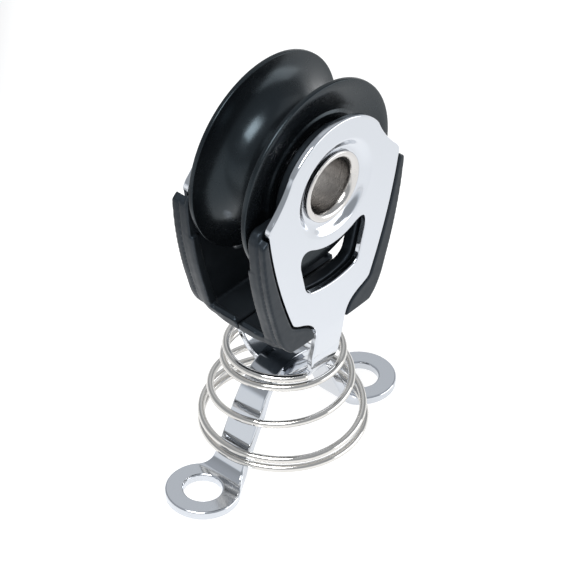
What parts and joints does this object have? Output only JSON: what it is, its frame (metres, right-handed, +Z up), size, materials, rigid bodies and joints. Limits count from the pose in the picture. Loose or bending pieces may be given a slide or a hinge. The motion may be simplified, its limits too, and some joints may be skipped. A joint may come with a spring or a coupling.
{
  "type": "single sheave stand-up block",
  "caption": "Small single rope block with a ball-bearing sheave between two moulded cheeks, held upright over a steel deck saddle by a conical spring.",
  "frame": {"origin": "on the deck, midway between the two feet", "axes": "+Z up from the deck through the axle; X from foot to foot; Y along the axle, with the near cheek on -Y"},
  "size_m": [0.0454, 0.0251, 0.0655],
  "materials": {
    "polished_steel": "polished stainless steel, rolled edges",
    "spring_wire": "bright drawn stainless wire",
    "tube_steel": "turned stainless tube, fine marks round the bore",
    "race_steel": "ground stainless steel",
    "black_moulding": "satin moulded nylon, black",
    "sheave_acetal": "semi-gloss moulded acetal, black",
    "ball_acetal": "smooth white acetal"
  },
  "bodies": {
    "saddle": {"deck_saddle": "polished_steel"},
    "spring": {"standup_spring": "spring_wire"},
    "block_head": {"side_strap": "polished_steel", "near_cheek": "black_moulding", "far_cheek": "black_moulding", "axle_tube": "tube_steel", "inner_race": "race_steel", "near_ball_retainer": "black_moulding", "far_ball_retainer": "black_moulding"},
    "sheave": {"sheave": "sheave_acetal"},
    "ball_train": {"ball_near_01": "ball_acetal", "ball_near_02": "ball_acetal", "ball_near_03": "ball_acetal", "ball_near_04": "ball_acetal", "ball_near_05": "ball_acetal", "ball_near_06": "ball_acetal", "ball_near_07": "ball_acetal", "ball_near_08": "ball_acetal", "ball_near_09": "ball_acetal", "ball_near_10": "ball_acetal", "ball_near_11": "ball_acetal", "ball_near_12": "ball_acetal", "ball_near_13": "ball_acetal", "ball_near_14": "ball_acetal", "ball_near_15": "ball_acetal", "ball_near_16": "ball_acetal", "ball_far_01": "ball_acetal", "ball_far_02": "ball_acetal", "ball_far_03": "ball_acetal", "ball_far_04": "ball_acetal", "ball_far_05": "ball_acetal", "ball_far_06": "ball_acetal", "ball_far_07": "ball_acetal", "ball_far_08": "ball_acetal", "ball_far_09": "ball_acetal", "ball_far_10": "ball_acetal", "ball_far_11": "ball_acetal", "ball_far_12": "ball_acetal", "ball_far_13": "ball_acetal", "ball_far_14": "ball_acetal", "ball_far_15": "ball_acetal", "ball_far_16": "ball_acetal"}
  },
  "joints": [
    {"name": "lean_along_saddle", "type": "hinge", "parent": "saddle", "child": "spring", "pos_m": [0, 0, 0.0093], "axis": [0, 1, 0], "range_deg": [-45, 45], "stiffness_Nm_per_rad": 0.3, "deforming": ["standup_spring"]},
    {"name": "lean_across_saddle", "type": "hinge", "parent": "spring", "child": "block_head", "pos_m": [0, 0, 0.0213], "axis": [1, 0, 0], "range_deg": [-45, 45], "stiffness_Nm_per_rad": 0.3, "deforming": ["standup_spring"]},
    {"name": "sheave_spin", "type": "hinge", "parent": "block_head", "child": "sheave", "pos_m": [0, 0, 0.0505], "axis": [0, 1, 0], "continuous": true},
    {"name": "ball_orbit", "type": "hinge", "parent": "block_head", "child": "ball_train", "pos_m": [0, 0, 0.0505], "axis": [0, 1, 0], "continuous": true}
  ],
  "couplings": [
    {"joint": "ball_orbit", "follows": "sheave_spin", "ratio": 0.582}
  ]
}
